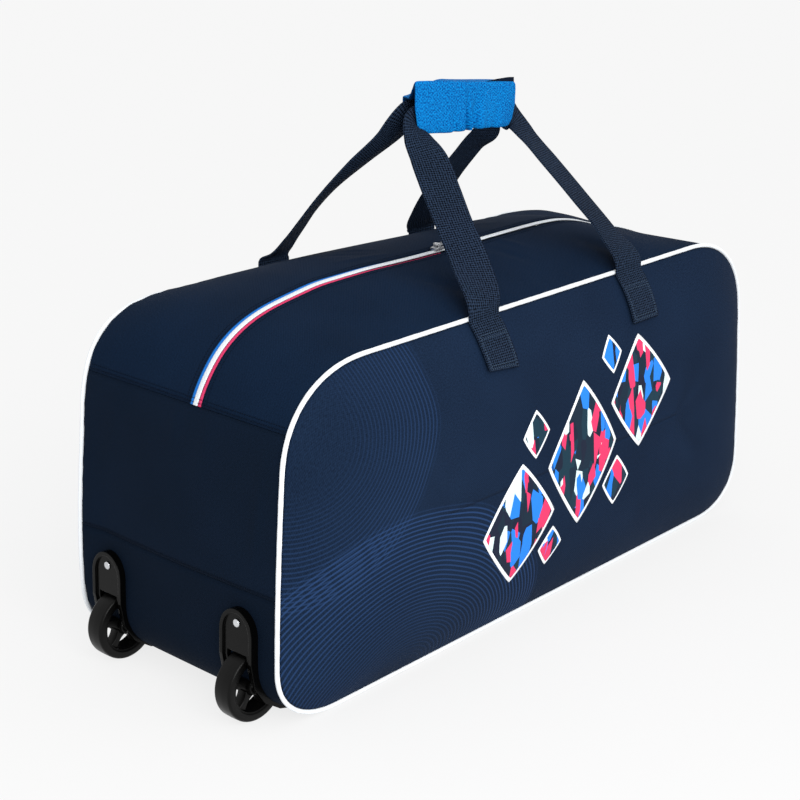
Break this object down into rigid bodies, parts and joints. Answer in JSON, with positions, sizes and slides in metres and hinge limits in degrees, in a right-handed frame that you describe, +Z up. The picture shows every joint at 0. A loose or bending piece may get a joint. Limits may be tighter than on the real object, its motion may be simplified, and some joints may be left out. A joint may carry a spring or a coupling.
{
  "type": "wheeled cricket kit bag",
  "caption": "Long soft kit bag in navy cloth with white piping, an arched zipped top, webbing handles joined by a padded wrap, and wheels in moulded corner housings.",
  "frame": {"origin": "under the middle of the whole bag, on the floor it stands on", "axes": "+X along the bag, from the wheels to the other end; +Y from the front panel to the back panel; +Z up"},
  "size_m": [0.8794, 0.399, 0.6035],
  "materials": {
    "navy_cloth": "matt heavy woven cloth",
    "base_cloth": "matt coated cloth",
    "webbing": "coarse woven webbing",
    "white_piping": "smooth satin",
    "blue_tape": "fine woven tape",
    "pink_tape": "fine woven tape",
    "pale_coil": "satin",
    "wrap_cloth": "fine heather cloth",
    "black_plastic": "satin moulded",
    "wheel_plastic": "satin moulded",
    "bright_metal": "polished"
  },
  "bodies": {
    "bag": {"front_panel": "navy_cloth", "back_panel": "navy_cloth", "top_panel_front": "navy_cloth", "top_panel_back": "navy_cloth", "end_panel_far": "navy_cloth", "end_panel_wheel": "navy_cloth", "end_band_far": "navy_cloth", "end_band_wheel": "navy_cloth", "base_panel": "base_cloth", "front_piping": "white_piping", "back_piping": "white_piping", "zip_tape_front": "pink_tape", "zip_tape_back": "blue_tape", "zip_coil": "pale_coil", "zip_slider": "bright_metal", "wheel_housing_front": "black_plastic", "wheel_housing_back": "black_plastic", "housing_rivet_front": "bright_metal", "housing_rivet_back": "bright_metal", "axle_front": "bright_metal", "axle_back": "bright_metal", "handle_front": "webbing", "handle_back": "webbing", "handle_wrap": "wrap_cloth"},
    "wheel_front": {"wheel_front": "wheel_plastic"},
    "wheel_back": {"wheel_back": "wheel_plastic"},
    "zip_pull": {"zip_pull": "bright_metal"}
  },
  "joints": [
    {"name": "wheel_front_spin", "type": "hinge", "parent": "bag", "child": "wheel_front", "pos_m": [-0.40073, -0.104, 0.039], "axis": [0, 1, 0], "continuous": true},
    {"name": "wheel_back_spin", "type": "hinge", "parent": "bag", "child": "wheel_back", "pos_m": [-0.40073, 0.104, 0.039], "axis": [0, 1, 0], "continuous": true},
    {"name": "zip_pull_flip", "type": "hinge", "parent": "bag", "child": "zip_pull", "pos_m": [-0.01673, -0.021, 0.41909], "axis": [0, -1, 0], "range_deg": [0, 165]}
  ]
}
